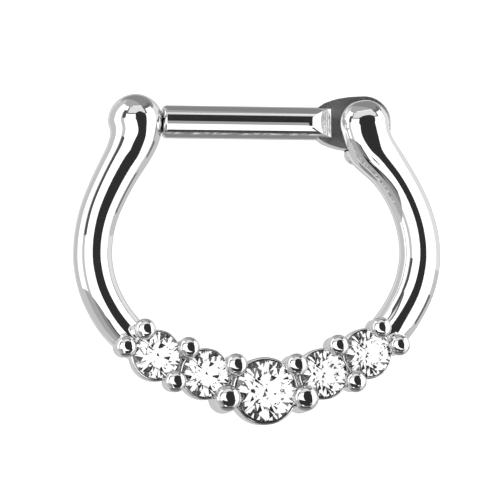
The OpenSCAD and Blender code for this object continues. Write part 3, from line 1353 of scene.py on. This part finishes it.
class Card(NamedTuple):
    """A card bent round the ring: its edges in degrees from the camera, and brightness.

    A card with a higher layer hangs in front of the others. The arch lifts the middle of
    its top, the foot values shift its lower corners to the right, and nearing is the share
    of the distance at which its right edge hangs.
    """

    name: str
    left: float
    right: float
    bottom: float
    top: float
    tone: Tone
    layer: int = 0
    arch: float = 0.0
    foot_left: float = 0.0
    foot_right: float = 0.0
    nearing: float = 1.0
    seen: Seen = Seen.BY_METAL


class NearCard(NamedTuple):
    """A small card just above the ring, between two corners in millimetres.

    The slant shifts the upper corner of its right end to the right.
    """

    name: str
    low: tuple[float, float, float]
    high: tuple[float, float, float]
    tone: Tone
    slant: float = 0.0


@dataclass
class Studio:
    """The floor, the cards that the metal mirrors, the light and the camera."""

    view: View
    distance: float = 0.1
    card_distance: float = 0.2
    layer_step: float = 0.01
    columns: int = 24
    rows: int = 16
    floor_size: float = 2.0
    lens: float = 200.0
    clip: tuple[float, float] = (0.001, 10.0)
    aim: tuple[float, float, float] = (-0.28, 0.346, 1.0)
    cards: tuple[Card, ...] = (
        Card("tent_front", -98, 101, -57, 90, Tone.WHITE, seen=Seen.BY_ALL),
        Card("back_above", 101, 262, 40, 90, Tone.STEEL, seen=Seen.BY_ALL),
        Card("back_below", 101, 262, -90, -42, Tone.STEEL, seen=Seen.BY_ALL),
        Card("front_below", -98, 101, -90, -57, Tone.SLATE, seen=Seen.BY_ALL),
        Card("right_rim", 101, 148, -42, -5, Tone.PALE),
        Card("right_rim_above", 101, 148, -5, 40, Tone.LIGHT),
        Card("left_rim", -150, -98, -42, 40, Tone.LIGHT),
        Card("table_edge", -98, 101, -75, -58, Tone.CHARCOAL, 1),
        Card("left_wall", -138, -96, -45, 62, Tone.PALE, 1),
        Card("left_strip", -62, -46, -14, 34, Tone.PALE, 1),
        Card("lamp_foot", -57, -41, 14, 42, Tone.CHARCOAL, 2),
        Card("ceiling_left", -138, -20, 58, 90, Tone.GREY, 1),
        Card("ceiling_middle", -20, 46, 66, 90, Tone.GREY, 1),
        Card("ceiling_right", 46, 125, 49, 90, Tone.STEEL, 1),
        Card("ceiling_edge", 46, 122, 49, 60, Tone.SLATE, 2),
        Card("lamp", -34, 50, 33, 64, Tone.LIGHT, 1),
        Card("lamp_left", -42, -34, 31, 58, Tone.SLATE, 2),
        Card("lamp_right", 49, 57, 31, 56, Tone.CHARCOAL, 2),
        Card("lamp_sill", -38, 50, 30, 34, Tone.SLATE, 2),
        Card("dark_card", 1, 43, 8, 33, Tone.BLACK, 3, 9, nearing=0.2),
        Card("dark_elbow", 1, 43, -12, 8, Tone.BLACK, 3, 0, 10, 2, 0.2),
        Card("dark_sleeve", 11, 45, -27, -12, Tone.BLACK, 3, 0, 31, 7, 0.2),
        Card("low_left", -96, -80, -58, -14, Tone.PALE, 1),
        Card("low_middle", -80, -45, -58, -14, Tone.GREY, 1),
        Card("low_near", -45, -26, -58, -14, Tone.STEEL, 1),
        Card("low_crease", -28, -20, -45, -15, Tone.CHARCOAL, 2),
        Card("right_low", 95, 125, -57, -25, Tone.PALE, 1, 0, -25, 0),
        Card("right_crease", 89, 95, -57, -28, Tone.CHARCOAL, 1, 0, -25, -25),
        Card("low_front", -4, 62, -56, -29, Tone.CHARCOAL, 2),
        Card("low_right", 97, 118, -30, -15, Tone.SLATE, 1),
        Card("stone_dark", 20, 29, -25, 40, Tone.BLACK, 4, seen=Seen.BY_STONES),
        Card("stone_third", 40, 60, -25, 40, Tone.BLACK, 4, seen=Seen.BY_STONES),
        Card("stone_second", -46, -10, -35, 30, Tone.BLACK, 4, seen=Seen.BY_STONES),
        Card("stone_top", -45, 45, 48, 60, Tone.BLACK, 4, seen=Seen.BY_STONES),
        Card("stone_left", -60, -50, -50, 40, Tone.BLACK, 4, seen=Seen.BY_STONES),
        Card("stone_low", -45, 45, -56, -38, Tone.BLACK, 4, seen=Seen.BY_STONES),
    )
    near_cards: tuple[NearCard, ...] = (
        NearCard("bar_dark", (-3.4, 4.92, 1.75), (1.86, 5.36, 1.76), Tone.BLACK, 0.25),
        NearCard("bar_shade", (-3.4, 4.76, 1.75), (1.9, 4.92, 1.76), Tone.GREY, -0.04),
        NearCard("row_shade", (-5.5, -12, 8), (5, -6.3, 8.01), Tone.BLACK),
        NearCard("bar_white", (-3.4, 4.17, 1.75), (2.2, 4.76, 1.76), Tone.WHITE, -0.35),
    )

    def card(self, spec: Card) -> None:
        """Hangs one card, which only the metal and the stones see.

        Args:
            spec: The card.
        """
        piece = Bench.start(spec.name, bpy.ops.mesh.primitive_grid_add,
                            x_subdivisions=self.columns, y_subdivisions=self.rows, size=2)
        reach = self.card_distance - self.layer_step * spec.layer
        for vertex in piece.data.vertices:
            along, low = (vertex.co.x + 1) / 2, (1 - vertex.co.y) / 2
            left, right = spec.left + spec.foot_left * low, spec.right + spec.foot_right * low
            top = spec.top + spec.arch * (1 - vertex.co.x ** 2)
            near = reach * (1 + (spec.nearing - 1) * along)
            vertex.co = self.view.towards(left + (right - left) * along,
                                          top + (spec.bottom - top) * low) * near
        self.hang(piece, spec.tone, spec.seen)

    def near_card(self, spec: NearCard) -> None:
        """Hangs one near card.

        Args:
            spec: The card.
        """
        low, high = Vector(spec.low), Vector(spec.high)
        middle = (low + high) / 2
        piece = Bench.block(spec.name, low, high)
        for vertex in piece.data.vertices:
            if vertex.co.x > middle.x and vertex.co.y > middle.y:
                vertex.co.x += spec.slant
        Bench.to_metres(piece)
        self.hang(piece, spec.tone, Seen.BY_METAL)

    @staticmethod
    def hang(piece: bpy.types.Object, tone: Tone, seen: Seen) -> None:
        """Lets a card glow, and hides it from the camera, the floor and what else misses it.

        Args:
            piece: The card's object.
            tone: Its brightness.
            seen: What sees it.
        """
        EvenGlow(f"{piece.name}_glow", tone.value).board().dress(piece)
        piece.visible_camera = piece.visible_diffuse = False
        piece.visible_shadow = piece.visible_volume_scatter = False
        piece.visible_glossy = seen != Seen.BY_STONES
        piece.visible_transmission = seen != Seen.BY_METAL

    def floor(self) -> None:
        """Lays the pale floor."""
        piece = Bench.start("floor", bpy.ops.mesh.primitive_plane_add, size=self.floor_size)
        glow = EvenGlow("pale_floor", strength=0.75, grey=0.9, roughness=0.9, gloss=0.1)
        glow.board().dress(piece)
        piece.visible_glossy = False

    @staticmethod
    def world(strength: float) -> None:
        """Surrounds the ring with a white tent.

        Args:
            strength: The tent's brightness.
        """
        world = bpy.data.worlds.new("tent")
        bpy.context.scene.world = world
        world.use_nodes = True
        background = world.node_tree.nodes["Background"]
        background.inputs["Color"].default_value = (1, 1, 1, 1)
        background.inputs["Strength"].default_value = strength

    def camera(self) -> None:
        """Sets the camera at the photograph's angle."""
        data = bpy.data.cameras.new("camera")
        data.lens = self.lens
        data.clip_start, data.clip_end = self.clip
        camera = bpy.data.objects.new("camera", data)
        bpy.context.scene.collection.objects.link(camera)
        aim = Vector(self.aim) * MM
        camera.location = aim + self.view.back() * self.distance
        camera.rotation_euler = self.view.turn()
        bpy.context.scene.camera = camera

    def build(self) -> None:
        """Sets up the whole studio."""
        self.camera()
        self.floor()
        self.world(Tone.PALE.value)
        for spec in self.cards:
            self.card(spec)
        for spec in self.near_cards:
            self.near_card(spec)
        bpy.context.scene.view_settings.view_transform = "Standard"


def report(piece: bpy.types.Object, body: str, node: str) -> None:
    """Puts a finished piece in its node's place and logs it.

    Args:
        piece: The finished piece.
        body: The body that it rides on.
        node: The node that it stands for.
    """
    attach(piece, body)
    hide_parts(node)
    LOG.info("%s: %d faces", piece.name, len(piece.data.polygons))


def main() -> None:
    """Loads the fixed frame and builds every piece round it."""
    logging.basicConfig(level=logging.INFO, format="%(name)s: %(message)s")
    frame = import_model()
    places = Places.read(frame)
    tab = TabOutline()
    marks = (places.hinge.x - HingeBar.marks_back, places.hinge.y)
    cast = PolishedMetal("polished_cast_frame", (0.9, 0.9, 0.9), roughness=0.04, wave_size=1.6,
                         wave_depth=0.0015, line_depth=0.00003)
    steel = PolishedMetal("polished_steel_bar", (0.86, 0.86, 0.86), roughness=0.06, wave_size=2.0,
                          wave_depth=0.001, line_depth=0.00006, line_stretch=(0.1, 1, 1),
                          milled=marks)
    report(RingFrame(places, cast, tab).build(), "frame", "ring_frame")
    report(HingeBar(places, steel, tab).build(), "bar", "hinge_bar")
    report(HingePin(places, steel).build(), "frame", "hinge_pin")
    clear = CutStone("clear_cut_stone", bend=2.15, tint=(1, 1, 1)).board()
    for name in places.stones:
        clear.dress(frame["nodes"][name])
        LOG.info("%s: dressed", name)
    Studio(View()).build()


if __name__ == "__main__":
    main()
